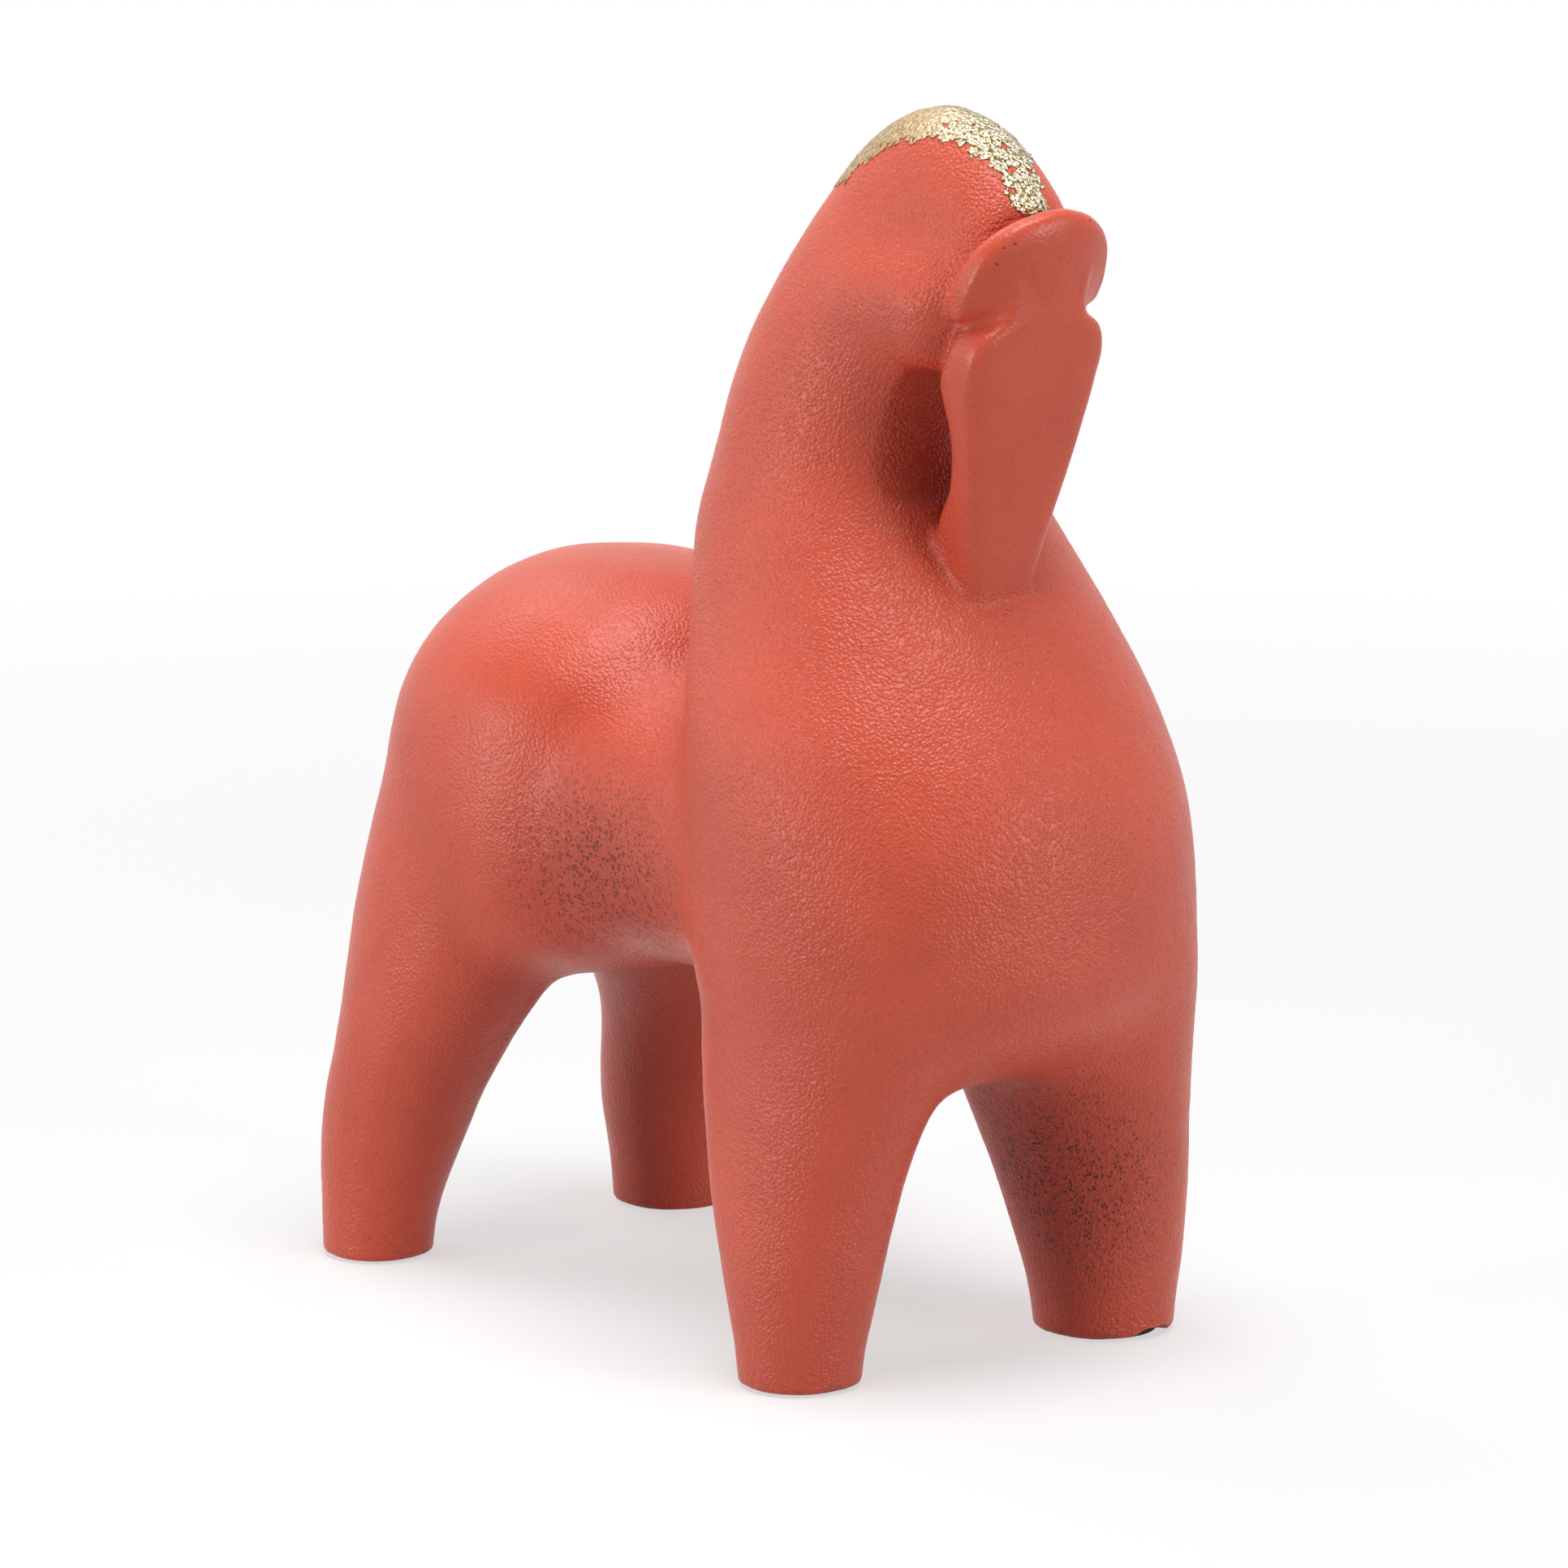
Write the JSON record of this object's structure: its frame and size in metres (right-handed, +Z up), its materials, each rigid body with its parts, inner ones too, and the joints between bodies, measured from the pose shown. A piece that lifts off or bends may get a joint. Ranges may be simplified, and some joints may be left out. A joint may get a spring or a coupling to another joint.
{
  "type": "horse figurine",
  "caption": "Stylised standing horse ornament: smooth hollow casting with a flat mask-like face, arched neck, gilded mane and padded feet.",
  "frame": {"origin": "centre of the footprint, on the surface the feet stand on", "axes": "+Z up, the horse looks along -Y, its left side is +X"},
  "size_m": [0.1226, 0.2212, 0.2895],
  "materials": {
    "terracotta_resin": "matte, finely stippled",
    "gold_leaf": "rubbed leaf",
    "black_foam": "soft matte",
    "plug_resin": "matte"
  },
  "bodies": {
    "root": {"body_casting": "terracotta_resin", "gold_leaf_mane": "gold_leaf", "front_left_foot_pad": "black_foam", "front_right_foot_pad": "black_foam", "rear_left_foot_pad": "black_foam", "rear_right_foot_pad": "black_foam", "front_left_foot_plug": "plug_resin", "front_right_foot_plug": "plug_resin", "rear_left_foot_plug": "plug_resin", "rear_right_foot_plug": "plug_resin"}
  },
  "joints": []
}
